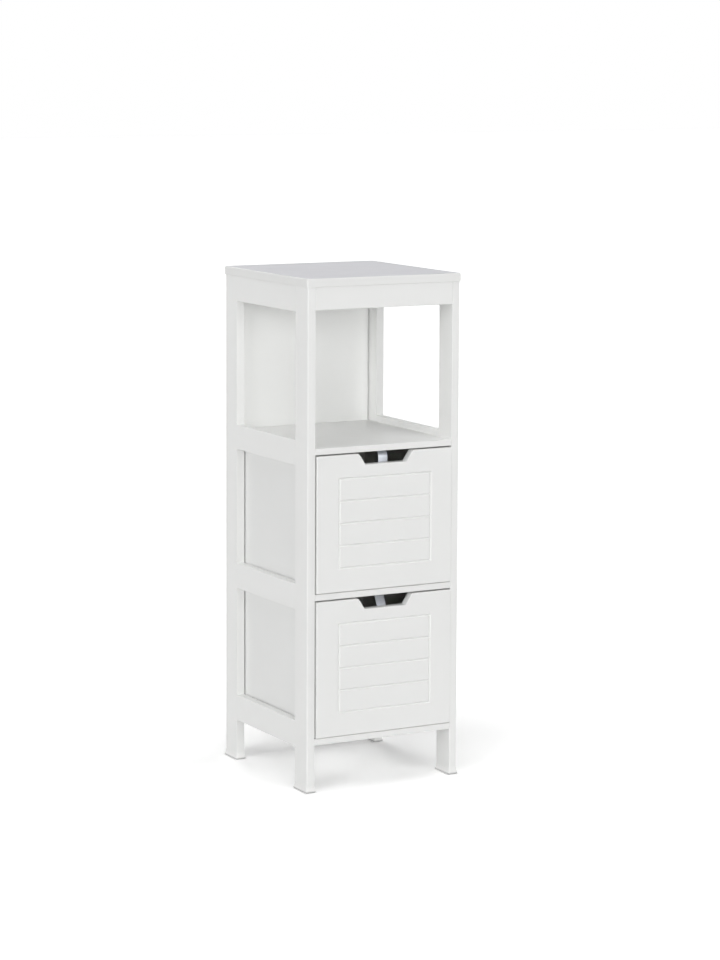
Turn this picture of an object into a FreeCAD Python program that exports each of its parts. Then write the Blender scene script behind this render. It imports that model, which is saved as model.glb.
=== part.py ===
# Narrow bathroom cabinet: two glued side frames, a top, three shelves, a back panel,
# thin side panels and two push-in drawers that run on the shelves below them.
# Lengths are in millimetres. X runs to the right, Y to the back and Z up.
# The origin is on the floor, under the middle of the top.
import FreeCAD, Part
import math
import os

from FreeCAD import Matrix, Placement, Vector

# Overall size
overall_width = 300
overall_depth = 317
overall_height = 880

# Top board
top_thickness = 15
top_overhang = 2
top_edge_round = 2.5
top_under_bevel = 0.6
top_corner_round = 4

# Side frames: flat posts with rails glued between them by stub tenons
post_thickness = 15
post_width = 45
post_corner_round = 2.5
post_inner_round = 1
joint_line_bevel = 0.4
board_end_bevel = 0.6
top_rail_height = 44
upper_rail_height = 44
middle_rail_height = 45
bottom_rail_height = 46
upper_rail_drop = 22
middle_rail_drop = 20.6
bottom_rail_drop = 9.5
rail_edge_round = 1
tenon_thickness_share = 0.4
tenon_height_share = 0.6
tenon_length = 8
tenon_end_gap = 0.5
cam_post_wall = 2

# Front apron under the top
apron_height = 39
apron_thickness = 15
apron_edge_round = 1.2

# Shelves and the openings between them
shelf_thickness = 11
bottom_shelf_underside = 81.5
drawer_opening_height = 238.6
shelf_edge_round = 0.8

# Back panel, in grooves of the bottom shelf and the top
back_setback = 18
back_thickness = 6
back_side_gap = 3
back_bottom_groove = 3
back_top_groove = 5
bottom_shelf_lip = 6

# Side panels, in grooves of the shelves
panel_thickness = 4
panel_setback = 2.3
panel_overlap = 5
panel_groove = 2.5
panel_end_play = 0.5
groove_play = 0.2

# Foot caps pushed onto the posts
cap_base = 4
cap_height = 11
cap_rim = 0.6
cap_flare = 2.8
cap_bottom_round = 2.4
cap_round_steps = 3
cap_curve_steps = 3

# Drawers
drawer_left_gap = 2.4
drawer_right_gap = 0.6
drawer_top_gap = 2.4
drawer_bottom_gap = 1
drawer_running_gap = 0.3
drawer_proud = 2
drawer_back_gap = 6
drawer_front_thickness = 15
drawer_front_round = 1.2
drawer_wall = 12
drawer_box_top_gap = 16.7
drawer_box_play = 1.7
drawer_housing = 4
drawer_bottom_thickness = 3
drawer_bottom_lift = 8
drawer_bottom_groove = 4

# Finger cut-out in the top edge of each drawer front
cutout_top_width = 105.5
cutout_bottom_width = 80.5
cutout_depth = 19
cutout_shift = 2.2
cutout_top_round = 6
cutout_bottom_round = 2

# V grooves that divide each drawer front into planks
plank_left_margin = 43.3
plank_right_margin = 41.5
plank_end_margin = 41
plank_count = 4
v_groove_width = 5
v_groove_depth = 2

# Drawer stops: bent strips screwed under the shelves
stop_width = 18
stop_thickness = 1.2
stop_offset = 6
stop_front_gap = 2.5
stop_drop = 27
stop_bend_radius = 13
stop_leg = 25
lower_stop_lean = 28
stop_hole_share = 0.5
stop_touch = 0.5

# Cam fittings: a bolt in one board, a turning cam in the other
cam_radius = 7.5
cam_reach = 24
cam_past_axis = 4.2
cam_recess = 0.2
cam_slot_width = 1.4
cam_slot_depth = 1.5
cam_slot_share = 0.6
bolt_radius = 2.5
bolt_head_radius = 3.4
bolt_head_length = 3
bolt_sink_share = 0.65

# Dowels of the front apron
dowel_radius = 4
dowel_length = 30
dowel_sink_share = 0.65

# Screws of the drawer stops
screw_radius = 1.75
screw_head_radius = 3.5
screw_head_height = 1.8
screw_length = 10

# Small round fittings are drawn with flat sides, and round corners of the caps with one bevel
rod_sides = 10

# Working clearances
pin_play = 0.1
bore_end_gap = 0.5
cut_overrun = 1

# Places of fittings, as shares of the sizes they follow
top_cam_share = 0.62
drawer_cam_share = 0.5

# Planes of the frames
frame_x = overall_width / 2 - top_overhang
frame_y = overall_depth / 2 - top_overhang
inner_x = frame_x - post_thickness
inner_y = frame_y - post_width
top_underside = overall_height - top_thickness

# Levels of the shelves
bottom_shelf_top = bottom_shelf_underside + shelf_thickness
middle_shelf_underside = bottom_shelf_top + drawer_opening_height
middle_shelf_top = middle_shelf_underside + shelf_thickness
open_shelf_underside = middle_shelf_top + drawer_opening_height
open_shelf_top = open_shelf_underside + shelf_thickness

# Planes of the back panel, side panels and shelves
back_front_y = frame_y - back_setback
back_rear_y = back_front_y + back_thickness
panel_outer_x = inner_x - panel_setback
panel_inner_x = panel_outer_x - panel_thickness
panel_end_y = inner_y + panel_overlap
cam_y = inner_y + tenon_length + tenon_end_gap + cam_post_wall + bolt_radius + pin_play

# Planes of the drawers
drawer_centre_x = (drawer_left_gap - drawer_right_gap) / 2
drawer_front_width = 2 * inner_x - drawer_left_gap - drawer_right_gap
drawer_front_height = drawer_opening_height - drawer_top_gap - drawer_bottom_gap
drawer_box_height = drawer_opening_height - drawer_running_gap - drawer_box_top_gap
drawer_front_y = -frame_y - drawer_proud
drawer_inner_y = drawer_front_y + drawer_front_thickness
drawer_box_half = panel_inner_x - drawer_box_play
drawer_rear_y = back_front_y - drawer_back_gap
drawer_stopping_y = drawer_rear_y - drawer_wall
stop_front_y = drawer_inner_y + stop_front_gap

LEFT, RIGHT, BACK, UP = Vector(-1, 0, 0), Vector(1, 0, 0), Vector(0, 1, 0), Vector(0, 0, 1)
FRONT, DOWN = Vector(0, -1, 0), Vector(0, 0, -1)


def block(x, y, z):
    """A rectangular board between pairs of X, Y and Z planes."""
    return Part.makeBox(x[1] - x[0], y[1] - y[0], z[1] - z[0], Vector(x[0], y[0], z[0]))


def rod(start, direction, radius, length):
    """A bolt, pin or bore, drawn with flat sides because so many of them repeat."""
    across = RIGHT if abs(direction * RIGHT) < abs(direction * UP) else direction.cross(UP)
    over = direction.cross(across)
    turns = [2 * math.pi * side / rod_sides for side in range(rod_sides)]
    ring = [start + across * (radius * math.cos(turn)) + over * (radius * math.sin(turn)) for turn in turns]
    return Part.Face(Part.makePolygon(ring + ring[:1])).extrude(direction * length)


def span(start, length):
    return (start, start + length)


def around(middle, length):
    return (middle - length / 2, middle + length / 2)


def board_between_posts(rear_y, z):
    """A board from the front plane to rear_y, with bevels where its front meets the posts."""
    board = block((-inner_x, inner_x), (-frame_y, rear_y), z)
    ends = [e for e in board.Edges if runs_along(e, UP) and e.CenterOfMass.y < -inner_y]
    return board.makeChamfer(board_end_bevel, ends)


def runs_along(edge, direction):
    """True for a straight edge that runs along the direction."""
    if len(edge.Vertexes) != 2:
        return False
    way = edge.Vertexes[1].Point - edge.Vertexes[0].Point
    return way.Length > 0 and abs(abs(way.normalize() * direction) - 1) < 1e-6


def rounded(shape, radius, direction, test):
    """Round the edges along one direction whose middle passes the test."""
    chosen = [e for e in shape.Edges if runs_along(e, direction) and test(e.CenterOfMass)]
    return shape.makeFillet(radius, chosen)


def edges_near_level(shape, level, reach):
    return [e for e in shape.Edges if abs(e.BoundBox.ZMin - level) + abs(e.BoundBox.ZMax - level) < reach]


def mirrored(shape):
    """The same piece on the other side of the cabinet."""
    return shape.mirror(Vector(0, 0, 0), RIGHT)


def save(name, *solids):
    """Write one sub-part: a single piece, or a group of like pieces."""
    shape = solids[0] if len(solids) == 1 else Part.makeCompound(list(solids))
    shape.exportStep(os.path.join("parts", name + ".step"))


# Cam fittings

def placed(origin, into, face):
    """Placement whose X points into the cam's board and whose Z points to the cam's open face."""
    side = face.cross(into)
    return Placement(Matrix(
        into.x, side.x, face.x, origin.x,
        into.y, side.y, face.y, origin.y,
        into.z, side.z, face.z, origin.z,
        0, 0, 0, 1))


class CamFitting:
    """A cam bolt that stands in one board and the cam that grips it in the other."""

    def __init__(self, origin, into, face, board_thickness, carrier_thickness):
        self.place = placed(origin, into, face)
        self.open_z = board_thickness / 2
        self.sink = carrier_thickness * bolt_sink_share

    def put(self, shape):
        shape.Placement = self.place.multiply(shape.Placement)
        return shape

    def bolt(self):
        head_start = cam_reach - bolt_head_length / 2
        shank = rod(Vector(-self.sink, 0, 0), RIGHT, bolt_radius, self.sink + head_start)
        head = rod(Vector(head_start, 0, 0), RIGHT, bolt_head_radius, bolt_head_length)
        return self.put(shank.fuse(head).removeSplitter())

    def cam(self):
        top = self.open_z - cam_recess
        disc = rod(Vector(cam_reach, 0, -cam_past_axis), UP, cam_radius - pin_play, top + cam_past_axis)
        grip = rod(Vector(cam_reach - cam_radius, 0, 0), RIGHT, bolt_head_radius + pin_play,
                   cam_radius + bolt_head_length)
        slot = block(around(cam_reach, 2 * cam_radius * cam_slot_share), around(0, cam_slot_width),
                     span(top - cam_slot_depth, cam_slot_depth + cut_overrun))
        return self.put(disc.cut([grip, slot]))

    def board_cuts(self):
        """The round pocket of the cam and the bolt's channel from the board's end."""
        pocket = rod(Vector(cam_reach, 0, -cam_past_axis - cam_recess), UP, cam_radius,
                     self.open_z + cam_past_axis + cam_recess + cut_overrun)
        channel = rod(Vector(-cut_overrun, 0, 0), RIGHT, bolt_head_radius + pin_play,
                      cam_reach + cut_overrun)
        return [self.put(pocket), self.put(channel)]

    def carrier_cut(self):
        return self.put(rod(Vector(cut_overrun, 0, 0), LEFT, bolt_radius + pin_play,
                            self.sink + bore_end_gap + cut_overrun))


def shelf_fittings(underside, side):
    """The two cam fittings between a shelf's end and the posts of one side frame."""
    level = underside + shelf_thickness / 2
    return [CamFitting(Vector(side * inner_x, y, level), LEFT * side, DOWN, shelf_thickness,
                       post_thickness) for y in (-cam_y, cam_y)]


def top_fittings(side):
    """The two cam fittings between a top rail and the top board."""
    x = side * (inner_x + post_thickness / 2)
    return [CamFitting(Vector(x, y, top_underside), DOWN, LEFT * side, post_thickness, top_thickness)
            for y in (-inner_y * top_cam_share, inner_y * top_cam_share)]


def drawer_fitting(side, box_bottom):
    """The cam fitting that pulls one drawer side against the drawer front."""
    x = drawer_centre_x + side * (drawer_box_half - drawer_wall / 2)
    level = box_bottom + drawer_box_height * drawer_cam_share
    return CamFitting(Vector(x, drawer_inner_y - drawer_housing, level), BACK, LEFT * side,
                      drawer_wall, drawer_front_thickness - drawer_housing)


# Dowels

def apron_dowel_start(side):
    """The end of an apron dowel inside the post."""
    level = top_underside - apron_height / 2
    depth = post_thickness * dowel_sink_share
    return Vector(side * (inner_x + depth), -frame_y + apron_thickness / 2, level)


def apron_dowel(side):
    return rod(apron_dowel_start(side), LEFT * side, dowel_radius, dowel_length)


def apron_dowel_cut(side):
    start = apron_dowel_start(side) + RIGHT * side * bore_end_gap
    return rod(start, LEFT * side, dowel_radius + pin_play, dowel_length + 2 * bore_end_gap)


# Side frames

rails = {
    "top_rail": (top_underside - top_rail_height, top_rail_height),
    "upper_rail": (open_shelf_underside - upper_rail_drop, upper_rail_height),
    "middle_rail": (middle_shelf_underside - middle_rail_drop, middle_rail_height),
    "bottom_rail": (bottom_shelf_underside - bottom_rail_drop, bottom_rail_height),
}


def tenon(bottom, height, end, play):
    """A stub tenon on one end of a rail, or its mortise when there is play."""
    x = around(-inner_x - post_thickness / 2, post_thickness * tenon_thickness_share)
    z = around(bottom + height / 2, height * tenon_height_share)
    reach = inner_y + tenon_length + play
    y = (0, reach) if end > 0 else (-reach, 0)
    return block(x, y, z)


def left_rail(bottom, height):
    rail = block((-frame_x, -inner_x), (-inner_y, inner_y), span(bottom, height))
    rail = rounded(rail, rail_edge_round, BACK, lambda p: True)
    return rail.fuse([tenon(bottom, height, -1, 0), tenon(bottom, height, 1, 0)]).removeSplitter()


def left_post(end):
    """A flat post, front when end is -1 and back when it is 1."""
    y = (inner_y, frame_y) if end > 0 else (-frame_y, -inner_y)
    post = block((-frame_x, -inner_x), y, (cap_base, top_underside))
    outer = lambda p: abs(p.y) > abs(inner_y) + post_width / 2
    post = rounded(post, post_corner_round, UP, lambda p: outer(p) and p.x < -inner_x - post_thickness / 2)
    post = rounded(post, post_inner_round, UP, lambda p: outer(p) and p.x > -inner_x - post_inner_round)
    meets_rails = [e for e in post.Edges if runs_along(e, UP)
                   and abs(abs(e.CenterOfMass.y) - inner_y) < joint_line_bevel]
    post = post.makeChamfer(joint_line_bevel, meets_rails)
    cuts = [tenon(bottom, height, end, tenon_end_gap) for bottom, height in rails.values()]
    for underside in (bottom_shelf_underside, middle_shelf_underside, open_shelf_underside):
        front, back = shelf_fittings(underside, -1)
        cuts.append((back if end > 0 else front).carrier_cut())
    if end < 0:
        cuts.append(apron_dowel_cut(-1))
    return post.cut(cuts)


def build_frames():
    for name, (bottom, height) in rails.items():
        rail = left_rail(bottom, height)
        if name == "top_rail":
            rail = rail.cut([cut for fitting in top_fittings(-1) for cut in fitting.board_cuts()])
        save("left_" + name, rail)
        save("right_" + name, mirrored(rail))
    for name, end in (("front_post", -1), ("back_post", 1)):
        post = left_post(end)
        save("left_" + name, post)
        save("right_" + name, mirrored(post))


# Top, apron and shelves

def back_panel_slot(floor, height):
    """The groove that holds an edge of the back panel."""
    half = inner_x - back_side_gap + groove_play
    y = (back_front_y - groove_play / 2, back_rear_y + groove_play / 2)
    return block((-half, half), y, span(floor, height))


def side_panel_slots(floor, height):
    """The pair of grooves that hold an edge of the side panels."""
    x = (panel_inner_x - groove_play / 2, panel_outer_x + groove_play / 2)
    y = (-panel_end_y - groove_play, panel_end_y + groove_play)
    slot = block(x, y, span(floor, height))
    return [slot, mirrored(slot)]


def build_top():
    top = block(around(0, overall_width), around(0, overall_depth), (top_underside, overall_height))
    top = rounded(top, top_corner_round, UP, lambda p: True)
    top = top.makeFillet(top_edge_round, edges_near_level(top, overall_height, top_edge_round))
    top = top.makeChamfer(top_under_bevel, edges_near_level(top, top_underside, top_under_bevel))
    cuts = [back_panel_slot(top_underside - cut_overrun, back_top_groove + cut_overrun)]
    for side in (-1, 1):
        cuts += [fitting.carrier_cut() for fitting in top_fittings(side)]
    save("top_panel", top.cut(cuts))


def build_apron():
    apron = board_between_posts(-frame_y + apron_thickness, (top_underside - apron_height, top_underside))
    apron = rounded(apron, apron_edge_round, RIGHT, lambda p: p.z < top_underside - apron_height / 2)
    save("front_apron", apron.cut([apron_dowel_cut(-1), apron_dowel_cut(1)]))
    save("apron_dowels", apron_dowel(-1), apron_dowel(1))


def shelf(underside, rear_y):
    board = board_between_posts(rear_y, span(underside, shelf_thickness))
    board = rounded(board, shelf_edge_round, RIGHT, lambda p: p.y < -inner_y)
    fittings = shelf_fittings(underside, -1) + shelf_fittings(underside, 1)
    return board.cut([cut for fitting in fittings for cut in fitting.board_cuts()])


def build_shelves():
    top_slot = lambda top: side_panel_slots(top - panel_groove, panel_groove + cut_overrun)
    under_slot = lambda under: side_panel_slots(under - cut_overrun, panel_groove + cut_overrun)

    bottom = shelf(bottom_shelf_underside, back_rear_y + bottom_shelf_lip)
    back_slot = back_panel_slot(bottom_shelf_top - back_bottom_groove, back_bottom_groove + cut_overrun)
    save("bottom_shelf", bottom.cut(top_slot(bottom_shelf_top) + [back_slot]))

    middle = shelf(middle_shelf_underside, back_front_y)
    slots = under_slot(middle_shelf_underside) + top_slot(middle_shelf_top)
    save("middle_shelf", middle.cut(slots + [stop_screw_cut(middle_shelf_underside)]))

    upper = shelf(open_shelf_underside, back_front_y)
    slots = under_slot(open_shelf_underside)
    save("open_shelf", upper.cut(slots + [stop_screw_cut(open_shelf_underside)]))


# Back panel and side panels

def build_panels():
    half = inner_x - back_side_gap
    back = block((-half, half), (back_front_y, back_rear_y),
                 (bottom_shelf_top - back_bottom_groove,
                  top_underside + back_top_groove - panel_end_play))
    save("back_panel", back)
    for name, floor in (("lower_panel", bottom_shelf_top), ("upper_panel", middle_shelf_top)):
        top = floor + drawer_opening_height + panel_groove - panel_end_play
        panel = block((-panel_outer_x, -panel_inner_x), (-panel_end_y, panel_end_y),
                      (floor - panel_groove, top))
        save("left_" + name, panel)
        save("right_" + name, mirrored(panel))


# Foot caps

def cap_outline(post_y, grow, level):
    """The post's outline, grown to all sides and with bevelled corners, at one level."""
    x = (-frame_x - grow, -inner_x + grow)
    y = (post_y[0] - grow, post_y[1] + grow)
    bevel = post_inner_round + grow
    corners = [(x[0] + bevel, y[0]), (x[1] - bevel, y[0]), (x[1], y[0] + bevel), (x[1], y[1] - bevel),
               (x[1] - bevel, y[1]), (x[0] + bevel, y[1]), (x[0], y[1] - bevel), (x[0], y[0] + bevel)]
    return [Vector(*corner, level) for corner in corners]


def cap_profile():
    """How far the cap grows past the post, level by level: a round lower edge, then a hollow curve."""
    places = []
    for step in range(cap_round_steps + 1):
        turn = math.pi / 2 * step / cap_round_steps
        tucked = cap_bottom_round * (1 - math.sin(turn))
        places.append((cap_flare - tucked, cap_bottom_round * (1 - math.cos(turn))))
    for step in range(1, cap_curve_steps + 1):
        up_share = step / cap_curve_steps
        grow = cap_rim + (cap_flare - cap_rim) * (1 - up_share) ** 2
        places.append((grow, cap_bottom_round + (cap_height - cap_bottom_round) * up_share))
    return places


def flat_sided(outlines):
    """A solid with flat faces between outlines that lie above each other."""
    faces = [Part.Face(Part.makePolygon(points + points[:1])) for points in (outlines[0], outlines[-1])]
    for low, high in zip(outlines, outlines[1:]):
        for place, point in enumerate(low):
            corners = [low[place - 1], point, high[place], high[place - 1], low[place - 1]]
            faces.append(Part.Face(Part.makePolygon(corners)))
    return Part.Solid(Part.Shell(faces))


def build_foot_caps():
    """A cap is a short sleeve that flares out in a hollow curve to a rounded base."""
    for name, end in (("front_foot_cap", -1), ("back_foot_cap", 1)):
        post_y = (inner_y, frame_y) if end > 0 else (-frame_y, -inner_y)
        body = flat_sided([cap_outline(post_y, grow, level) for grow, level in cap_profile()])
        pocket = block((-frame_x, -inner_x), post_y, (cap_base, cap_height + cut_overrun))
        cap = body.cut(pocket)
        save("left_" + name, cap)
        save("right_" + name, mirrored(cap))


# Fittings of the carcass

def build_carcass_fittings():
    shelf_set = [fitting for underside in (bottom_shelf_underside, middle_shelf_underside,
                                           open_shelf_underside)
                 for side in (-1, 1) for fitting in shelf_fittings(underside, side)]
    top_set = top_fittings(-1) + top_fittings(1)
    save("shelf_cam_bolts", *[fitting.bolt() for fitting in shelf_set])
    save("shelf_cams", *[fitting.cam() for fitting in shelf_set])
    save("top_cam_bolts", *[fitting.bolt() for fitting in top_set])
    save("top_cams", *[fitting.cam() for fitting in top_set])


# Drawer stops

def stop_bend_y(lean):
    """Where the level leg of a stop starts, so that the tip of the hanging leg stays in place."""
    turn = math.radians(90 - lean)
    outer = stop_bend_radius + stop_thickness
    down = stop_drop - stop_thickness - stop_bend_radius
    hanging = (down + outer * math.cos(turn)) / math.sin(turn)
    return stop_front_y + outer * math.sin(turn) + hanging * math.cos(turn)


def stop_screw_seat(underside):
    """Where the screw's head bears on the level leg of the stop under a shelf."""
    lean = lower_stop_lean if underside == middle_shelf_underside else 0
    y = stop_bend_y(lean) + stop_leg * stop_hole_share
    return Vector(stop_offset, y, underside - stop_thickness)


def stop_screw(underside):
    seat = stop_screw_seat(underside)
    head = rod(seat, DOWN, screw_head_radius, screw_head_height)
    return head.fuse(rod(seat, UP, screw_radius, screw_length))


def stop_screw_cut(underside):
    start = stop_screw_seat(underside) + DOWN * cut_overrun
    return rod(start, UP, screw_radius + pin_play, cut_overrun + screw_length + bore_end_gap)


def drawer_stop(underside, lean):
    """A flat strip: a level leg under the shelf, a round bend and a leg that hangs down."""
    turn = math.radians(90 - lean)
    outer = stop_bend_radius + stop_thickness
    bend_y = stop_bend_y(lean)
    x = around(stop_offset, stop_width)
    level_leg = block(x, span(bend_y, stop_leg), (underside - stop_thickness, underside))
    end = Part.makePolygon([Vector(x[0], bend_y, underside - stop_thickness),
                            Vector(x[1], bend_y, underside - stop_thickness),
                            Vector(x[1], bend_y, underside), Vector(x[0], bend_y, underside),
                            Vector(x[0], bend_y, underside - stop_thickness)])
    centre = Vector(0, bend_y, underside - outer)
    section = Part.Face(end)
    bend = section.revolve(centre, RIGHT, 90 - lean)
    section.rotate(centre, RIGHT, 90 - lean)
    way = Vector(0, -math.cos(turn), -math.sin(turn))
    down = stop_drop - stop_thickness - stop_bend_radius
    hanging = section.extrude(way * ((down + outer * math.cos(turn)) / math.sin(turn)))
    strip = level_leg.fuse([bend, hanging]).removeSplitter()
    return strip.cut(stop_screw_cut(underside))


def build_stops():
    save("upper_drawer_stop", drawer_stop(open_shelf_underside, 0))
    save("lower_drawer_stop", drawer_stop(middle_shelf_underside, lower_stop_lean))
    save("stop_screws", stop_screw(middle_shelf_underside), stop_screw(open_shelf_underside))


# Drawers

def drawer_outline(bottom):
    """The front's outline with the finger cut-out in its top edge, as an upright face."""
    top = bottom + drawer_front_height
    floor = top - cutout_depth
    half = drawer_front_width / 2
    cutout = [(cutout_shift + cutout_top_width / 2, top), (cutout_shift + cutout_bottom_width / 2, floor),
              (cutout_shift - cutout_bottom_width / 2, floor), (cutout_shift - cutout_top_width / 2, top)]
    places = [(-half, bottom), (half, bottom), (half, top)] + cutout + [(-half, top)]
    points = [Vector(drawer_centre_x + x, drawer_front_y, z) for x, z in places]
    return Part.Face(Part.makePolygon(points + points[:1]))


def v_groove(start, end):
    """A V cutter along the face of a drawer front, from one middle line point to another."""
    way = (end - start).normalize()
    across = way.cross(BACK)
    half = v_groove_width / 2
    wide = half * (1 + cut_overrun / v_groove_depth)
    mouth = FRONT * cut_overrun
    profile = Part.makePolygon([start + across * wide + mouth, start - across * wide + mouth,
                                start + BACK * v_groove_depth, start + across * wide + mouth])
    return Part.Face(profile).extrude(end - start)


def v_end(point):
    """The round end that the same cutter leaves."""
    wide = v_groove_width / 2 * (1 + cut_overrun / v_groove_depth)
    return Part.makeCone(wide, 0, v_groove_depth + cut_overrun, point + FRONT * cut_overrun, BACK)


def plank_grooves(bottom):
    left = plank_left_margin - drawer_front_width / 2
    right = drawer_front_width / 2 - plank_right_margin
    low = bottom + plank_end_margin
    high = bottom + drawer_front_height - plank_end_margin
    at = lambda x, z: Vector(drawer_centre_x + x, drawer_front_y, z)
    levels = [low + (high - low) * plank / plank_count for plank in range(plank_count + 1)]
    cutters = [v_groove(at(left, level), at(right, level)) for level in levels]
    cutters += [v_groove(at(x, low), at(x, high)) for x in (left, right)]
    cutters += [v_end(at(x, level)) for x in (left, right) for level in (low, high)]
    return cutters


def drawer_front(bottom, box_bottom):
    front = drawer_outline(bottom).extrude(BACK * drawer_front_thickness)
    top = bottom + drawer_front_height
    cutout_x = drawer_centre_x + cutout_shift
    in_cutout = lambda p: abs(p.x - cutout_x) < (cutout_top_width + cutout_top_round) / 2
    front = rounded(front, cutout_top_round, BACK, lambda p: in_cutout(p) and p.z > top - cutout_depth / 2)
    front = rounded(front, cutout_bottom_round, BACK,
                    lambda p: in_cutout(p) and bottom + plank_end_margin < p.z < top - cutout_depth / 2)
    face_edges = [e for e in front.Edges if e.BoundBox.YMax < drawer_front_y + drawer_front_round / 2]
    front = front.makeFillet(drawer_front_round, face_edges)
    return front.cut(plank_grooves(bottom) + [drawer_bottom_slot(box_bottom)]
                     + [drawer_side_block(side, box_bottom) for side in (-1, 1)]
                     + [drawer_fitting(side, box_bottom).carrier_cut() for side in (-1, 1)])


def drawer_side_block(side, box_bottom):
    """The plain board of a drawer side, which the front is housed to take."""
    outer = side * drawer_box_half
    inner = outer - side * drawer_wall
    x = sorted((drawer_centre_x + outer, drawer_centre_x + inner))
    return block(x, (drawer_inner_y - drawer_housing, drawer_rear_y),
                 span(box_bottom, drawer_box_height))


def drawer_bottom_board(box_bottom, play):
    """The drawer bottom, or the groove that holds it when there is play."""
    half = drawer_box_half - drawer_wall + drawer_bottom_groove + play
    y = (drawer_inner_y - drawer_bottom_groove - play, drawer_stopping_y + drawer_bottom_groove + play)
    z = span(box_bottom + drawer_bottom_lift - play / 2, drawer_bottom_thickness + play)
    return block(around(drawer_centre_x, 2 * half), y, z)


def drawer_bottom_slot(box_bottom):
    return drawer_bottom_board(box_bottom, groove_play)


def drawer_back_board(box_bottom):
    """The plain board of a drawer back, whose ends sit in rebates of the sides."""
    half = drawer_box_half - drawer_wall + drawer_housing
    return block(around(drawer_centre_x, 2 * half), (drawer_stopping_y, drawer_rear_y),
                 span(box_bottom, drawer_box_height))


def build_drawer(name, floor):
    box_bottom = floor + drawer_running_gap
    back = drawer_back_board(box_bottom)
    slot = drawer_bottom_slot(box_bottom)
    fittings = [drawer_fitting(side, box_bottom) for side in (-1, 1)]
    save(name + "_front", drawer_front(floor + drawer_bottom_gap, box_bottom))
    for word, side, fitting in (("left", -1, fittings[0]), ("right", 1, fittings[1])):
        board = drawer_side_block(side, box_bottom)
        save(name + "_" + word + "_side", board.cut([slot, back] + fitting.board_cuts()))
    save(name + "_back", back.cut(slot))
    save(name + "_bottom", drawer_bottom_board(box_bottom, 0))
    save(name + "_cam_bolts", *[fitting.bolt() for fitting in fittings])
    save(name + "_cams", *[fitting.cam() for fitting in fittings])


def drawer_travel(lean):
    """How far a drawer slides before its back meets the leg of its stop."""
    box_top = drawer_running_gap + drawer_box_height
    tip = drawer_opening_height - stop_drop
    rise = max(box_top - tip, 0)
    leg_back_y = stop_front_y + stop_thickness / math.cos(math.radians(lean))
    return drawer_stopping_y - leg_back_y - rise * math.tan(math.radians(lean)) - stop_touch


os.makedirs("parts", exist_ok=True)
build_top()
build_apron()
build_frames()
build_shelves()
build_panels()
build_foot_caps()
build_carcass_fittings()
build_stops()
build_drawer("upper_drawer", middle_shelf_top)
build_drawer("lower_drawer", bottom_shelf_top)
print("upper drawer travel", round(drawer_travel(0), 1))
print("lower drawer travel", round(drawer_travel(lower_stop_lean), 1))
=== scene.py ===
import math

import bmesh
import bpy
from mathutils import Matrix, Vector


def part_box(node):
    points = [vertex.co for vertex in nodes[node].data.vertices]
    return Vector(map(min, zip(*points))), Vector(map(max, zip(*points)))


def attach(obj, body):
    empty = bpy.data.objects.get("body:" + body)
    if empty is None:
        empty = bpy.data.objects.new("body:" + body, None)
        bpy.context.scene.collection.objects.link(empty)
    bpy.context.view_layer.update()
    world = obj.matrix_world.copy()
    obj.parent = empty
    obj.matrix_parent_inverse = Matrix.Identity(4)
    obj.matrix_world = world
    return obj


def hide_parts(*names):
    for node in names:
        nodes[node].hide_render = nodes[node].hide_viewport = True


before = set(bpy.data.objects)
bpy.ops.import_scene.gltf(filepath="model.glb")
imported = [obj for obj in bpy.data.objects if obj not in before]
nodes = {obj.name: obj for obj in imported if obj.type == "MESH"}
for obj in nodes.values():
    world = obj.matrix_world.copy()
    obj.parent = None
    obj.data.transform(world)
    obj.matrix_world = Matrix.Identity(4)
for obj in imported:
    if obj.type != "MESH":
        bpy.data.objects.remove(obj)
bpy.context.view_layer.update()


# Side frames
# Two frames of flat posts with four rails glued between them on stub tenons, cut from fibreboard.
# They are sprayed with white satin paint, which dries with a faint ripple and soft clouds of gloss.

paint_white = (0.87, 0.873, 0.862)
cloud_size = 0.18
gloss_cloud_size = cloud_size / 6
ripple_size = 0.0022
ripple_depth = 0.0001
noise_low = 0.3
noise_high = 0.7


def feed(tree, socket, value):
    """Give an input another node's output, or a plain value."""
    if isinstance(value, bpy.types.NodeSocket):
        tree.links.new(value, socket)
    else:
        socket.default_value = value


def add_node(tree, kind, *in_order, operation=None, **by_name):
    """A shader node with its inputs fed, the first ones in order and the others by name."""
    made = tree.nodes.new(kind)
    if operation:
        made.operation = operation
    for socket, value in zip(made.inputs, in_order):
        feed(tree, socket, value)
    for name, value in by_name.items():
        feed(tree, made.inputs[name.replace("_", " ")], value)
    return made


def object_place(tree):
    """The object's own coordinates, in metres."""
    return tree.nodes.new("ShaderNodeTexCoord").outputs["Object"]


def noise_on(tree, place, size, detail, stretch=(1, 1, 1)):
    """Noise in the object's own coordinates, whose patches are about size metres."""
    mapping = add_node(tree, "ShaderNodeMapping", Vector=place, Scale=[part / size for part in stretch])
    noise = add_node(tree, "ShaderNodeTexNoise", Vector=mapping.outputs["Vector"], Scale=1.0, Detail=detail)
    return noise.outputs["Fac"]


def spread_of(tree, noise, low, high):
    """The noise's middle range stretched to run from low to high."""
    ranged = add_node(tree, "ShaderNodeMapRange", Value=noise, From_Min=noise_low, From_Max=noise_high,
                      To_Min=low, To_Max=high)
    return ranged.outputs["Result"]


def shaded(tree, colour, shade):
    """A colour darkened by a shade."""
    return add_node(tree, "ShaderNodeVectorMath", colour, operation="SCALE", Scale=shade).outputs["Vector"]


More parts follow.
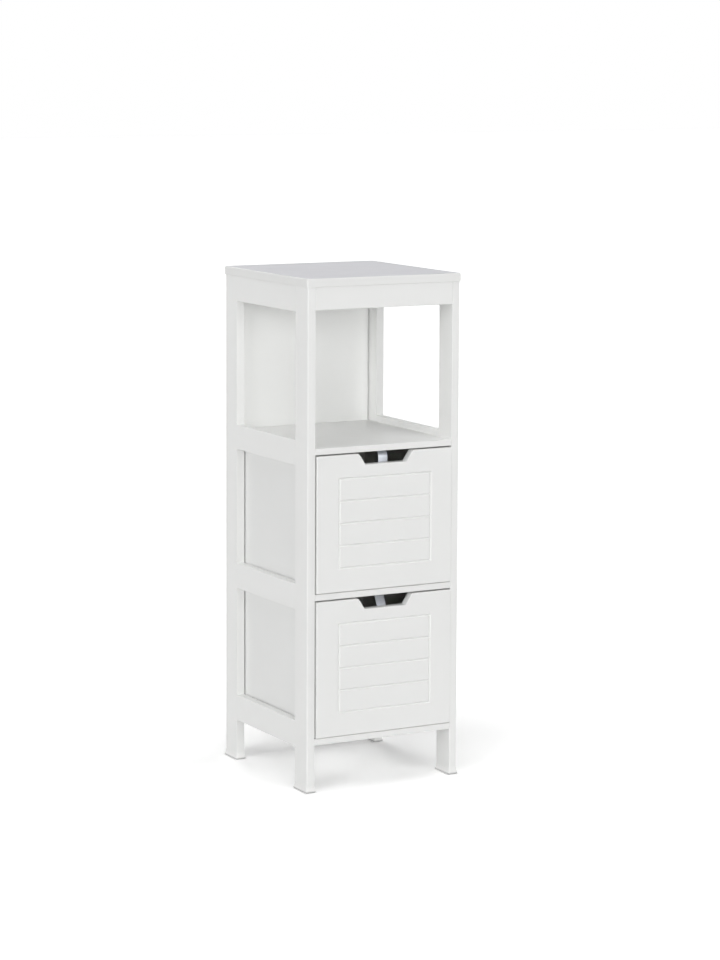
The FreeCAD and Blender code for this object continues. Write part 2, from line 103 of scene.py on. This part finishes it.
def start_group(name, inputs):
    """A new shader group that gives a colour, a roughness and a height, with what it takes and gives."""
    group = bpy.data.node_groups.new(name, "ShaderNodeTree")
    for label, kind, value in inputs:
        group.interface.new_socket(label, in_out="INPUT", socket_type=kind).default_value = value
    for label, kind in (("Colour", "NodeSocketColor"), ("Roughness", "NodeSocketFloat"),
                        ("Height", "NodeSocketFloat")):
        group.interface.new_socket(label, in_out="OUTPUT", socket_type=kind)
    return group, group.nodes.new("NodeGroupInput").outputs, group.nodes.new("NodeGroupOutput").inputs


def make_coat_film():
    """Tone, gloss and ripple of a thin coat: clouds in the film and a fine surface ripple."""
    group, taken, given = start_group(
        "coat_film",
        [("Colour", "NodeSocketColor", (0.8, 0.8, 0.8, 1)), ("Cloud Shade", "NodeSocketFloat", 0.97),
         ("Gloss Low", "NodeSocketFloat", 0.3), ("Gloss High", "NodeSocketFloat", 0.4)])
    place = object_place(group)
    shade = spread_of(group, noise_on(group, place, cloud_size, detail=3.0), taken["Cloud Shade"], 1.0)
    gloss_clouds = noise_on(group, place, gloss_cloud_size, detail=4.0)
    feed(group, given["Colour"], shaded(group, taken["Colour"], shade))
    feed(group, given["Roughness"], spread_of(group, gloss_clouds, taken["Gloss Low"], taken["Gloss High"]))
    feed(group, given["Height"], noise_on(group, place, ripple_size, detail=1.0))
    return group


def start_material(name):
    """A new material, its node tree and the inputs of its shader."""
    material = bpy.data.materials.new(name)
    material.use_nodes = True
    return material, material.node_tree, material.node_tree.nodes["Principled BSDF"].inputs


def surfaced(name, group, relief, depth, **values):
    """A material whose colour, roughness and relief come from a shared group with its own values."""
    material, tree, shader = start_material(name)
    surface = tree.nodes.new("ShaderNodeGroup")
    surface.node_tree = group
    for label, value in values.items():
        surface.inputs[label.replace("_", " ")].default_value = value
    bump = add_node(tree, "ShaderNodeBump", Strength=relief, Distance=depth, Height=surface.outputs["Height"])
    feed(tree, shader["Base Color"], surface.outputs["Colour"])
    feed(tree, shader["Roughness"], surface.outputs["Roughness"])
    feed(tree, shader["Normal"], bump.outputs["Normal"])
    return material, shader


coat_film = make_coat_film()


def coated(name, colour, cloud_shade, gloss, ripple, shine=0.4):
    """A painted, foiled or moulded surface over the shared film."""
    material, shader = surfaced(name, coat_film, ripple, ripple_depth, Colour=(*colour, 1),
                                Cloud_Shade=cloud_shade, Gloss_Low=gloss[0], Gloss_High=gloss[1])
    shader["Specular IOR Level"].default_value = shine
    return material


def finish_nodes(names, material):
    """Give CAD nodes their finish in place of the plain one they came with."""
    for name in names:
        mesh = nodes[name].data
        mesh.materials.clear()
        mesh.materials.append(material)


satin_paint = coated("satin_paint", paint_white, cloud_shade=0.985, gloss=(0.32, 0.42), ripple=0.25)
frame_parts = ["top_rail", "upper_rail", "middle_rail", "bottom_rail", "front_post", "back_post"]
finish_nodes([side + part for side in ("left_", "right_") for part in frame_parts], satin_paint)


# Shelves and front apron
# Three fibreboard shelves between the frames, and a plain apron between the front posts.
# They are cut, eased along the front edge and sprayed with the same paint as the frames.

finish_nodes(["bottom_shelf", "middle_shelf", "open_shelf", "front_apron"], satin_paint)


# Cam fittings
# Zinc-plated steel bolts stand in the posts, the top and the drawer fronts.
# Cast zinc drums with a cross slot turn in round pockets of the boards and draw the bolt heads in.

mm = 0.001
weld_distance = 0.01 * mm
level_slack = 0.001 * mm
round_steps = 40
sharp_angle = math.radians(32)

cam_radius = 7.1
cam_wall_radius = 4.6
cam_cap_depth = 1.7
cam_cap_edge = 0.4
cam_mouth = math.radians(80)
cam_slot_arm = 4.6
cam_slot_width = 1.4
cam_slot_depth = 1.2
bolt_radius = 2.4
bolt_point_taper = 0.8
bolt_point_length = 1
thread_start = 1.4
thread_pitch = 1.3
thread_depth = 0.45
thread_share = 0.26
bolt_collar_radius = 3.2
bolt_collar_rise = 0.3
bolt_collar_level = 1.5
bolt_collar_end = 2.1
bolt_neck_radius = 1.9
bolt_neck_length = 2
bolt_head_radius = 3.2
bolt_head_length = 3
bolt_head_shoulder = 1
bolt_head_round = 0.9
streak_depth = 0.00005


def turned(profile):
    """A round piece spun about the Z axis from half its outline: pairs of radius and height in mm."""
    shape = bmesh.new()
    corners = [shape.verts.new((radius * mm, 0, height * mm)) for radius, height in profile]
    edges = [shape.edges.new(pair) for pair in zip(corners, corners[1:])]
    bmesh.ops.spin(shape, geom=corners + edges, cent=(0, 0, 0), axis=(0, 0, 1), angle=2 * math.pi,
                   steps=round_steps, use_merge=True)
    bmesh.ops.remove_doubles(shape, verts=shape.verts, dist=weld_distance)
    bmesh.ops.recalc_face_normals(shape, faces=shape.faces)
    return shape


def only(kind, made):
    """The corners, edges or faces among what an operator made."""
    return [part for part in made if isinstance(part, kind)]


def faces_at(shape, level):
    """The faces whose corners all lie at one level."""
    at_level = lambda corner: abs(corner.co.z - level) < level_slack
    return [face for face in shape.faces if all(at_level(corner) for corner in face.verts)]


def press_cross(shape, level, arm, width, depth):
    """Press a cross into the flat face at one level, for a screwdriver."""
    level, arm, half, depth = level * mm, arm * mm, width / 2 * mm, depth * mm
    bmesh.ops.dissolve_faces(shape, faces=faces_at(shape, level))
    for across in (Vector((1, 0, 0)), Vector((0, 1, 0))):
        for offset in (-arm, -half, half, arm):
            flat = faces_at(shape, level)
            sides = list(dict.fromkeys(edge for face in flat for edge in face.edges))
            bmesh.ops.bisect_plane(shape, geom=flat + sides, plane_co=across * offset, plane_no=across)
    inside = lambda p: (abs(p.x) < half and abs(p.y) < arm) or (abs(p.y) < half and abs(p.x) < arm)
    pressed = [face for face in faces_at(shape, level) if inside(face.calc_center_median())]
    made = bmesh.ops.extrude_face_region(shape, geom=pressed)["geom"]
    bmesh.ops.delete(shape, geom=pressed, context="FACES_ONLY")
    bmesh.ops.translate(shape, verts=only(bmesh.types.BMVert, made), vec=(0, 0, -depth))


def solids_of(name):
    """The corner points of each separate solid of a CAD node."""
    copy = bmesh.new()
    copy.from_mesh(nodes[name].data)
    bmesh.ops.remove_doubles(copy, verts=copy.verts, dist=weld_distance)
    seen, found = set(), []
    for first in copy.verts:
        if first in seen:
            continue
        seen.add(first)
        waiting, points = [first], []
        while waiting:
            corner = waiting.pop()
            points.append(corner.co.copy())
            for other in [edge.other_vert(corner) for edge in corner.link_edges]:
                if other not in seen:
                    seen.add(other)
                    waiting.append(other)
        found.append(points)
    copy.free()
    return found


def extent(points):
    """The middle and the size of the box round some points."""
    low = Vector([min(point[way] for point in points) for way in range(3)])
    high = Vector([max(point[way] for point in points) for way in range(3)])
    return (low + high) / 2, high - low


def unit(way, sign=1):
    """A vector one long, along one axis."""
    made = Vector((0, 0, 0))
    made[way] = sign
    return made


def standing(origin, up, side):
    """A place whose Z axis points up along one direction and whose X axis points to a side."""
    place = Matrix((side, up.cross(side), up)).transposed().to_4x4()
    place.translation = origin
    return place


def rod_places(name):
    """The foot of each round rod of a node, with Z along it towards its wide end, and the rods' length."""
    places = []
    for points in solids_of(name):
        middle, size = extent(points)
        way = max(range(3), key=lambda along: size[along])
        off_line = lambda point: (point - middle - unit(way) * (point - middle)[way]).length
        sign = 1 if max(points, key=off_line)[way] > middle[way] else -1
        foot = middle - unit(way, sign) * size[way] / 2
        places.append(standing(foot, unit(way, sign), unit((way + 1) % 3)))
        length = size[way] / mm
    return places, length


def join_copies(group, shape, places):
    """Add the shape to a group of shapes, once at each place."""
    single = bpy.data.meshes.new("single")
    shape.to_mesh(single)
    shape.free()
    for place in places:
        placed = single.copy()
        placed.transform(place)
        group.from_mesh(placed)
        bpy.data.meshes.remove(placed)
    bpy.data.meshes.remove(single)
    return group


def add_object(name, shape, material):
    """An object in the scene, made from a shape and its material."""
    mesh = bpy.data.meshes.new(name)
    shape.to_mesh(mesh)
    shape.free()
    mesh.materials.append(material)
    made = bpy.data.objects.new(name, mesh)
    bpy.context.scene.collection.objects.link(made)
    return made


def finish_piece(name, shape, material, body, node):
    """A finished piece that stands for a CAD node, with soft shading between its sharp edges."""
    for face in shape.faces:
        face.smooth = True
    for edge in shape.edges:
        edge.smooth = edge.calc_face_angle(0) < sharp_angle
    piece = add_object(name, shape, material)
    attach(piece, body)
    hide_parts(node)


def make_metal_streaks():
    """Fine streaks along one direction: a mask for tone and gloss, and a height."""
    group, taken, given = start_group(
        "metal_streaks",
        [("Stretch", "NodeSocketVector", (1, 1, 1)), ("Tone Low", "NodeSocketFloat", 0.9),
         ("Gloss Low", "NodeSocketFloat", 0.25), ("Gloss High", "NodeSocketFloat", 0.4),
         ("Colour", "NodeSocketColor", (0.6, 0.6, 0.6, 1))])
    pulled = add_node(group, "ShaderNodeVectorMath", object_place(group), taken["Stretch"],
                      operation="MULTIPLY").outputs["Vector"]
    streaks = add_node(group, "ShaderNodeTexNoise", Vector=pulled, Scale=1.0, Detail=3.0).outputs["Fac"]
    tone = spread_of(group, streaks, taken["Tone Low"], 1.0)
    feed(group, given["Colour"], shaded(group, taken["Colour"], tone))
    feed(group, given["Roughness"], spread_of(group, streaks, taken["Gloss Low"], taken["Gloss High"]))
    feed(group, given["Height"], streaks)
    return group


metal_streaks = make_metal_streaks()


def metal(name, colour, stretch, tone_low, gloss, relief):
    """Bare or plated metal over the shared streaks."""
    material, shader = surfaced(name, metal_streaks, relief, streak_depth, Colour=(*colour, 1),
                                Stretch=stretch, Tone_Low=tone_low, Gloss_Low=gloss[0], Gloss_High=gloss[1])
    shader["Metallic"].default_value = 1.0
    return material


cast_zinc = metal("cast_zinc", (0.55, 0.55, 0.54), stretch=(900, 900, 900), tone_low=0.85,
                  gloss=(0.4, 0.55), relief=0.5)
zinc_plate = metal("zinc_plate", (0.62, 0.63, 0.62), stretch=(400, 400, 400), tone_low=0.9,
                   gloss=(0.25, 0.35), relief=0.2)


def make_cam_bolts(node, body):
    """Threaded at the foot, with a collar, a thin neck and a round head for the drum to grip."""
    places, length = rod_places(node)
    thread_end = length * thread_share
    head = length - bolt_head_length
    profile = [(0, 0), (bolt_radius - bolt_point_taper, 0), (bolt_radius, bolt_point_length)]
    level = thread_start
    while level + thread_pitch < thread_end:
        profile += [(bolt_radius, level), (bolt_radius - thread_depth, level + thread_pitch / 2)]
        level += thread_pitch
    profile += [(bolt_radius, level), (bolt_radius, thread_end),
                (bolt_collar_radius, thread_end + bolt_collar_rise),
                (bolt_collar_radius, thread_end + bolt_collar_level),
                (bolt_radius, thread_end + bolt_collar_end),
                (bolt_neck_radius, head - bolt_neck_length), (bolt_neck_radius, head),
                (bolt_head_radius, head + bolt_head_shoulder),
                (bolt_head_radius, length - bolt_head_round),
                (bolt_head_radius - bolt_head_round, length), (0, length)]
    bolts = join_copies(bmesh.new(), turned(profile), places)
    finish_piece(node + "_turned", bolts, zinc_plate, body, node)


def towards_bolt(node, middle):
    """The way from a cam's middle to the bolt that it grips."""
    if node == "shelf_cams":
        return unit(0, math.copysign(1, middle.x))
    if node == "top_cams":
        return unit(2)
    return unit(1, -1)


def make_cams(node, body):
    """A capped drum, open on the bolt's side, whose cap has the cross slot."""
    places = []
    for points in solids_of(node):
        middle, size = extent(points)
        way = min(range(3), key=lambda along: size[along])
        out = unit(way, -1 if way == 2 else -math.copysign(1, middle.x))
        places.append(standing(middle + out * size[way] / 2, out, towards_bolt(node, middle)))
        depth = size[way] / mm
    drum = turned([(0, -cam_cap_depth), (cam_radius, -cam_cap_depth), (cam_radius, -cam_cap_edge),
                   (cam_radius - cam_cap_edge, 0), (0, 0)])
    press_cross(drum, 0, cam_slot_arm, cam_slot_width, cam_slot_depth)
    wall = bmesh.new()
    section = [(cam_wall_radius, -depth), (cam_radius, -depth), (cam_radius, -cam_cap_depth),
               (cam_wall_radius, -cam_cap_depth)]
    start = wall.faces.new([wall.verts.new((radius * mm, 0, level * mm)) for radius, level in section])
    bmesh.ops.rotate(wall, verts=wall.verts, cent=(0, 0, 0), matrix=Matrix.Rotation(cam_mouth / 2, 3, "Z"))
    bmesh.ops.spin(wall, geom=[start, *start.edges, *start.verts], cent=(0, 0, 0), axis=(0, 0, 1),
                   angle=2 * math.pi - cam_mouth, steps=round_steps)
    bmesh.ops.holes_fill(wall, edges=[edge for edge in wall.edges if edge.is_boundary], sides=0)
    bmesh.ops.recalc_face_normals(wall, faces=wall.faces)
    drum = join_copies(drum, wall, [Matrix()])
    cams = join_copies(bmesh.new(), drum, places)
    finish_piece(node + "_cast", cams, cast_zinc, body, node)


for family, body in (("shelf", "carcass"), ("top", "carcass"), ("upper_drawer", "upper_drawer"),
                     ("lower_drawer", "lower_drawer")):
    make_cam_bolts(family + "_cam_bolts", body)
    make_cams(family + "_cams", body)


# Apron dowels
# Plain beech dowels with chamfered ends, glued half into the posts and half into the apron.
# The grain runs along them.

dowel_radius = 3.8
dowel_chamfer = 1.2
beech_dark = (0.42, 0.24, 0.12)
beech_pale = (0.62, 0.42, 0.24)
beech_grain = 0.0015
grain_along_x = (0.06, 1, 1)


def mixed(tree, mask, first, second):
    """The first colour where the mask is 0, and the second where it is 1."""
    blend = tree.nodes.new("ShaderNodeMix")
    blend.data_type = "RGBA"
    for label, value in (("Factor", mask), ("A", first), ("B", second)):
        feed(tree, blend.inputs[label], value)
    return blend.outputs["Result"]


def make_beech():
    """Pale and dark brown grain, drawn out along the dowels."""
    material, tree, shader = start_material("beech")
    grain = noise_on(tree, object_place(tree), beech_grain, detail=4.0, stretch=grain_along_x)
    colour = mixed(tree, spread_of(tree, grain, 0, 1), (*beech_dark, 1), (*beech_pale, 1))
    feed(tree, shader["Base Color"], colour)
    shader["Roughness"].default_value = 0.6
    return material


dowel_places, dowel_length = rod_places("apron_dowels")
dowel = turned([(0, 0), (dowel_radius - dowel_chamfer, 0), (dowel_radius, dowel_chamfer),
                (dowel_radius, dowel_length - dowel_chamfer), (dowel_radius - dowel_chamfer, dowel_length),
                (0, dowel_length)])
finish_piece("apron_dowels_turned", join_copies(bmesh.new(), dowel, dowel_places), make_beech(), "carcass",
             "apron_dowels")


# Back panel and side panels
# Thin fibreboard sheets, slid into grooves of the shelves and the top without glue.
# The back has a bright smooth foil, and the side panels a rolled lacquer, duller than the paint.

back_foil = coated("back_foil", (0.92, 0.925, 0.912), cloud_shade=0.98, gloss=(0.42, 0.5), ripple=0.15)
finish_nodes(["back_panel"], back_foil)

panel_lacquer = coated("panel_lacquer", (0.845, 0.85, 0.84), cloud_shade=0.98, gloss=(0.42, 0.5), ripple=0.2)
finish_nodes(["left_lower_panel", "left_upper_panel", "right_lower_panel", "right_upper_panel"],
             panel_lacquer)


# Top board
# Fibreboard with rounded edges, laid on the frames and pulled down by the cams of the top rails.
# Its edges are painted like the frames, and its upper face is the same paint, greyed and cooled with painted
# shade and a painted cool reflection.

# Painted shade and painted cool reflection for the top's upper face, in place of the white paint.
top_shade_grey = (0.73, 0.73, 0.765)


def upward(tree, low, high):
    """A mask that is 1 on faces that look up, and 0 where their normal rises less than low."""
    normal = tree.nodes.new("ShaderNodeNewGeometry").outputs["True Normal"]
    parts = add_node(tree, "ShaderNodeSeparateXYZ", normal)
    ranged = add_node(tree, "ShaderNodeMapRange", Value=parts.outputs["Z"], From_Min=low, From_Max=high)
    return ranged.outputs["Result"]


def colour_of(material):
    """A coated material's tree, the colour that its film gives, and the shader's socket for it."""
    socket = material.node_tree.nodes["Principled BSDF"].inputs["Base Color"]
    return material.node_tree, socket.links[0].from_socket, socket


def make_top_paint_shaded():
    """White paint round the edges, and over the level upper face a cool grey: painted shade and painted
    reflection.
    """
    material = coated("top_paint_shaded", paint_white, cloud_shade=0.985, gloss=(0.3, 0.38), ripple=0.12,
                      shine=0.03)
    tree, white, socket = colour_of(material)
    # The upper face gets the painted shade and reflection grey.
    feed(tree, socket, mixed(tree, upward(tree, low=0.8, high=0.98), white, (*top_shade_grey, 1)))
    return material


finish_nodes(["top_panel"], make_top_paint_shaded())


# Foot caps
# Four moulded white plastic caps, pushed onto the ends of the posts.
# Each flares out in a hollow curve to a base with a rounded lower edge, and has rounded corners.

cap_corner = 1.0
cap_corner_steps = 6
cap_flare = 2.8
cap_rim = 0.6
cap_lip = 0.15
cap_lip_height = 0.2
cap_height = 11
cap_floor = 4
cap_bottom_round = 2.4
cap_round_steps = 8
cap_curve_steps = 12
# Painted shade on the caps: darker from these heights down to the floor, down to this share of the colour.
painted_shade_low = 0.0016
painted_shade_high = 0.0042
painted_shade_depth = 0.6


def make_cap_plastic():
    """Moulded white plastic, greyed with painted shade where the rounded edge meets the floor."""
    material = coated("cap_plastic", (0.87, 0.87, 0.86), cloud_shade=0.98, gloss=(0.38, 0.46), ripple=0.3)
    tree, white, socket = colour_of(material)
    # Painted shade: the colour darkens towards the floor along the cap's lowest rounded edge.
    parts = add_node(tree, "ShaderNodeSeparateXYZ", object_place(tree))
    rise = add_node(tree, "ShaderNodeMapRange", Value=parts.outputs["Z"], From_Min=painted_shade_low,
                    From_Max=painted_shade_high, To_Min=painted_shade_depth, To_Max=1.0)
    feed(tree, socket, shaded(tree, white, rise.outputs["Result"]))
    return material


cap_plastic = make_cap_plastic()


def cap_levels():
    """How far the cap stands out past the post, and how high, from its base up and down into its socket."""
    levels = []
    for step in range(1, cap_round_steps + 1):
        turn = math.pi / 2 * step / cap_round_steps
        levels.append((cap_flare - cap_bottom_round * (1 - math.sin(turn)),
                       cap_bottom_round * (1 - math.cos(turn))))
    for step in range(1, cap_curve_steps + 1):
        share = step / cap_curve_steps
        levels.append((cap_rim + (cap_flare - cap_rim) * (1 - share) ** 2,
                       cap_bottom_round + (cap_height - cap_lip_height - cap_bottom_round) * share))
    return levels + [(cap_rim - cap_lip, cap_height), (0, cap_height), (0, cap_floor)]


def make_foot_cap(node):
    """A rounded outline on the floor, drawn up level by level and closed inside the socket."""
    low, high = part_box(node)
    middle = (low + high) / 2
    inset = (cap_flare + cap_corner) * mm
    core = [(low[way] + inset, high[way] - inset) for way in (0, 1)]
    corner = (cap_corner + cap_flare - cap_bottom_round) * mm
    outline = Matrix.Diagonal((*[stop - start + 2 * corner for start, stop in core], 1, 1))
    shape = bmesh.new()
    bmesh.ops.create_grid(shape, x_segments=1, y_segments=1, size=0.5,
                          matrix=Matrix.Translation((middle.x, middle.y, 0)) @ outline)
    bmesh.ops.bevel(shape, geom=shape.verts[:], offset=corner, offset_type="OFFSET",
                    segments=cap_corner_steps, profile=0.5, affect="VERTICES", material=-1)
    rim = [edge for edge in shape.edges if edge.is_boundary]
    for grow, level in cap_levels():
        made = bmesh.ops.extrude_edge_only(shape, edges=rim)["geom"]
        for point in only(bmesh.types.BMVert, made):
            near = Vector([min(max(point.co[way], core[way][0]), core[way][1]) for way in (0, 1)])
            out = (point.co.to_2d() - near).normalized() * (cap_corner + grow) * mm
            point.co = (*(near + out), level * mm)
        rim = [edge for edge in only(bmesh.types.BMEdge, made) if edge.is_boundary]
    bmesh.ops.contextual_create(shape, geom=rim)
    bmesh.ops.recalc_face_normals(shape, faces=shape.faces)
    finish_piece(node + "_moulded", shape, cap_plastic, "carcass", node)


for side in ("left", "right"):
    for end in ("front", "back"):
        make_foot_cap(side + "_" + end + "_foot_cap")


# Drawer stops
# Strips of zinc-plated spring steel with rolled edges, bent down behind the drawer fronts.
# Each is held by a pan-head screw in its level leg, under the middle and the open shelf.

strip_width = 18
strip_thickness = 1.2
strip_edge_round = 0.5
strip_edge_steps = 4
strip_leg = 25
strip_bend_radius = 13
strip_bend_steps = 14
strip_drop = 27
lower_strip_lean = 28
screw_radius = 1.65
screw_point_radius = 0.3
screw_point_length = 2
screw_shank_inset = 0.3
screw_thread_pitch = 1
screw_thread_depth = 0.4
screw_crest_level = 0.4
screw_root_level = 0.9
screw_head_radius = 3.5
screw_head_height = 1.8
screw_head_rim = 0.6
screw_head_rise = 0.3
screw_head_bevel = 0.5
screw_head_crown = 1.1
screw_cross_arm = 1.8
screw_cross_width = 0.7
screw_cross_depth = 1.0

strip_steel = metal("strip_steel", (0.52, 0.54, 0.58), stretch=(3000, 120, 120), tone_low=0.85,
                    gloss=(0.42, 0.55), relief=0.4)


def make_stop(node, lean):
    """The strip's section, drawn forwards under the shelf, spun down in a bend and drawn on to its tip."""
    low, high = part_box(node)
    turn = math.radians(90 - lean)
    outer = strip_bend_radius + strip_thickness
    down = strip_drop - strip_thickness - strip_bend_radius
    hanging = (down + outer * math.cos(turn)) / math.sin(turn)
    shape = bmesh.new()
    middle = Vector(((low.x + high.x) / 2, high.y, high.z - strip_thickness / 2 * mm))
    place = (Matrix.Translation(middle) @ Matrix.Rotation(math.pi / 2, 4, "X")
             @ Matrix.Diagonal((strip_width * mm, strip_thickness * mm, 1, 1)))
    bmesh.ops.create_grid(shape, x_segments=1, y_segments=1, size=0.5, matrix=place)
    bmesh.ops.bevel(shape, geom=shape.verts[:], offset=strip_edge_round * mm, segments=strip_edge_steps,
                    profile=0.5, affect="VERTICES", material=-1)
    end = shape.faces[:]

    def drawn(last, way):
        """Draw the strip's end on along one way. Only its first face stays, as the end of the leg."""
        made = bmesh.ops.extrude_face_region(shape, geom=last, use_keep_orig=last is end)["geom"]
        bmesh.ops.translate(shape, verts=only(bmesh.types.BMVert, made), vec=way)
        return only(bmesh.types.BMFace, made)

    last = drawn(end, (0, -strip_leg * mm, 0))
    centre = (0, high.y - strip_leg * mm, high.z - outer * mm)
    spun = bmesh.ops.spin(shape, geom=[*last, *last[0].edges, *last[0].verts], cent=centre, axis=(1, 0, 0),
                          angle=turn, steps=strip_bend_steps)["geom_last"]
    last = only(bmesh.types.BMFace, spun)
    drawn(last, Vector((0, -math.cos(turn), -math.sin(turn))) * hanging * mm)
    bmesh.ops.recalc_face_normals(shape, faces=shape.faces)
    finish_piece(node + "_strip", shape, strip_steel, "carcass", node)


def make_stop_screws(node):
    """Pointed and threaded, with a domed head that has a cross recess."""
    places, length = rod_places(node)
    shank = length - screw_head_height
    shank_radius = screw_radius - screw_shank_inset
    profile = [(0, 0), (screw_point_radius, 0), (shank_radius, screw_point_length)]
    level = screw_point_length
    while level + 2 * screw_thread_pitch < shank:
        profile += [(screw_radius, level + screw_crest_level),
                    (screw_radius - screw_thread_depth, level + screw_root_level)]
        level += screw_thread_pitch
    profile += [(shank_radius, shank), (screw_head_radius, shank),
                (screw_head_radius, shank + screw_head_rim),
                (screw_head_radius - screw_head_bevel, length - screw_head_rise),
                (screw_head_radius - screw_head_crown, length), (0, length)]
    screw = turned(profile)
    press_cross(screw, length, screw_cross_arm, screw_cross_width, screw_cross_depth)
    screws = join_copies(bmesh.new(), screw, places)
    finish_piece(node + "_turned", screws, zinc_plate, "carcass", node)


make_stop("upper_drawer_stop", 0)
make_stop("lower_drawer_stop", lower_strip_lean)
make_stop_screws("stop_screws")


# Drawers
# Each has a painted fibreboard front with routed V grooves and a finger cut-out in its top edge.
# The box behind it is of foiled board, housed and glued, round a thin hardboard bottom.

foil_white = (0.88, 0.88, 0.845)
fibre_dark = (0.2, 0.11, 0.055)
fibre_pale = (0.33, 0.2, 0.11)
fibre_size = 0.0012

box_foil = coated("box_foil", foil_white, cloud_shade=0.985, gloss=(0.4, 0.5), ripple=0.2)


def make_hardboard():
    """White foil on the upper face, and bare brown fibres with a fine grain below and at the edges."""
    material = coated("hardboard", foil_white, cloud_shade=0.985, gloss=(0.45, 0.55), ripple=0.2)
    tree, white, socket = colour_of(material)
    grain = noise_on(tree, object_place(tree), fibre_size, detail=4.0)
    fibres = mixed(tree, spread_of(tree, grain, 0, 1), (*fibre_dark, 1), (*fibre_pale, 1))
    feed(tree, socket, mixed(tree, upward(tree, low=0.4, high=0.6), fibres, white))
    return material


hardboard = make_hardboard()
for drawer in ("upper_drawer", "lower_drawer"):
    finish_nodes([drawer + "_front"], satin_paint)
    finish_nodes([drawer + part for part in ("_left_side", "_right_side", "_back")], box_foil)
    finish_nodes([drawer + "_bottom"], hardboard)


# Floor, light and camera
# A white floor and backdrop, plain soft lamps round the cabinet and one above, and a long lens.
# The floor keeps the cabinet's soft shadow, and away from it grows plain white, as on a lit sweep.

plain_white = (1, 1, 1, 1)
floor_half_width = 30
floor_grey = (0.8, 0.8, 0.8, 1)
floor_gain = 1.27
near_glow = 0.05
far_glow = 0.35
near_reach = 0.22
far_reach = 0.6


def to_the_eye(tree, real, shown):
    """One shader that lights the object, and another for what the eye sees, also in gloss and glass."""
    rays = tree.nodes.new("ShaderNodeLightPath").outputs
    seen = add_node(tree, "ShaderNodeMath", rays["Is Camera Ray"], rays["Is Glossy Ray"],
                    operation="MAXIMUM")
    seen = add_node(tree, "ShaderNodeMath", seen.outputs[0], rays["Is Transmission Ray"],
                    operation="MAXIMUM")
    return add_node(tree, "ShaderNodeMixShader", seen.outputs[0], real.outputs[0], shown.outputs[0])


def make_floor():
    """White to the eye and in reflections, with the object's own soft shadow on it. Clear from below."""
    material = bpy.data.materials.new("floor_white")
    material.use_nodes = True
    tree = material.node_tree
    tree.nodes.clear()
    reach = add_node(tree, "ShaderNodeVectorMath", object_place(tree), operation="LENGTH")
    glow = add_node(tree, "ShaderNodeMapRange", Value=reach.outputs["Value"], From_Min=near_reach,
                    From_Max=far_reach, To_Min=near_glow, To_Max=far_glow)
    glowing = add_node(tree, "ShaderNodeEmission", Color=plain_white, Strength=glow.outputs["Result"])
    lit = add_node(tree, "ShaderNodeBsdfDiffuse", Color=(floor_gain, floor_gain, floor_gain, 1))
    shown = add_node(tree, "ShaderNodeAddShader", glowing.outputs[0], lit.outputs[0])
    real = add_node(tree, "ShaderNodeBsdfDiffuse", Color=floor_grey)
    above = to_the_eye(tree, real, shown)
    below = tree.nodes.new("ShaderNodeBsdfTransparent")
    backfacing = tree.nodes.new("ShaderNodeNewGeometry").outputs["Backfacing"]
    either = add_node(tree, "ShaderNodeMixShader", backfacing, above.outputs[0], below.outputs[0])
    add_node(tree, "ShaderNodeOutputMaterial", Surface=either.outputs[0])
    shape = bmesh.new()
    bmesh.ops.create_grid(shape, x_segments=1, y_segments=1, size=floor_half_width)
    add_object("floor", shape, material)


def make_backdrop():
    """A white surround to the eye and in reflections, which gives no light of its own."""
    world = bpy.data.worlds.new("backdrop")
    world.use_nodes = True
    tree = world.node_tree
    tree.nodes.clear()
    real = add_node(tree, "ShaderNodeBackground", Color=plain_white, Strength=0.0)
    shown = add_node(tree, "ShaderNodeBackground", Color=plain_white, Strength=1.0)
    add_node(tree, "ShaderNodeOutputWorld", Surface=to_the_eye(tree, real, shown).outputs[0])
    bpy.context.scene.world = world


def add_lamp(name, azimuth, elevation, level, softness):
    """A wide soft lamp far away. Azimuth 0 is in front of the cabinet, and 90 on its right."""
    light = bpy.data.lights.new(name, "SUN")
    light.energy = math.pi * level
    light.angle = math.radians(softness)
    lamp = bpy.data.objects.new(name, light)
    bpy.context.scene.collection.objects.link(lamp)
    turn, rise = math.radians(azimuth), math.radians(elevation)
    towards = Vector((math.sin(turn) * math.cos(rise), -math.cos(turn) * math.cos(rise), math.sin(rise)))
    lamp.rotation_euler = towards.to_track_quat("Z", "Y").to_euler()


make_floor()
make_backdrop()
add_lamp("front_lamp", azimuth=15, elevation=6, level=0.185, softness=20)
add_lamp("front_lamp_left", azimuth=-22, elevation=6, level=0.175, softness=20)
add_lamp("corner_lamp", azimuth=-60, elevation=14, level=0.26, softness=28)
add_lamp("left_lamp", azimuth=-92, elevation=10, level=0.13, softness=28)
add_lamp("right_lamp", azimuth=90, elevation=10, level=0.6, softness=30)
add_lamp("back_lamp", azimuth=175, elevation=10, level=0.6, softness=30)
add_lamp("ceiling_lamp", azimuth=-35, elevation=64, level=0.4, softness=60)

camera_place = Vector((-2.419, -4.478, 1.279))
camera_turn = 28.75
camera_dip = 6.07
camera_roll = 0.25
focal_pixels = 2928
photo_height = 960
lens_rise_pixels = 129.6

camera_data = bpy.data.cameras.new("camera")
camera_data.sensor_width = 36
camera_data.lens = focal_pixels / photo_height * camera_data.sensor_width
camera_data.shift_y = -lens_rise_pixels / photo_height
camera = bpy.data.objects.new("camera", camera_data)
bpy.context.scene.collection.objects.link(camera)
camera.matrix_world = (Matrix.Translation(camera_place)
                       @ Matrix.Rotation(-math.radians(camera_turn), 4, "Z")
                       @ Matrix.Rotation(math.radians(90 - camera_dip), 4, "X")
                       @ Matrix.Rotation(math.radians(camera_roll), 4, "Z"))
bpy.context.scene.camera = camera
bpy.context.scene.view_settings.view_transform = "Standard"
